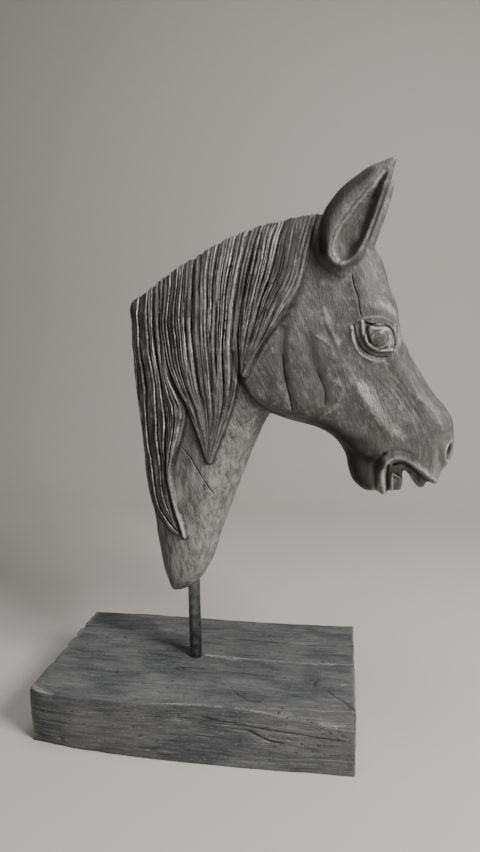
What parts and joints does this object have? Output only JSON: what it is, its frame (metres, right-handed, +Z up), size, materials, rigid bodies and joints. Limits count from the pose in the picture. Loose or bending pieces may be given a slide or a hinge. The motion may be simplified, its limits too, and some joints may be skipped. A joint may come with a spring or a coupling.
{
  "type": "driftwood horse head sculpture",
  "caption": "Carved grey wooden horse head and neck with a strand-cut mane, held up by a steel rod on a weathered timber block",
  "frame": {"origin": "the middle of the plinth's underside", "axes": "+Z up, +X the way the horse looks, -Y the side with the finer carving"},
  "size_m": [0.5098, 0.2284, 0.6829],
  "materials": {
    "carved_wood": "charcoal grey stain with the raised strands and edges rubbed pale",
    "rod_steel": "dark bluish steel, satin",
    "plinth_timber": "weathered grey timber with open grain, splits and worn edges"
  },
  "bodies": {
    "root": {"horse_head": "carved_wood", "rod": "rod_steel", "plinth": "plinth_timber"}
  },
  "joints": []
}
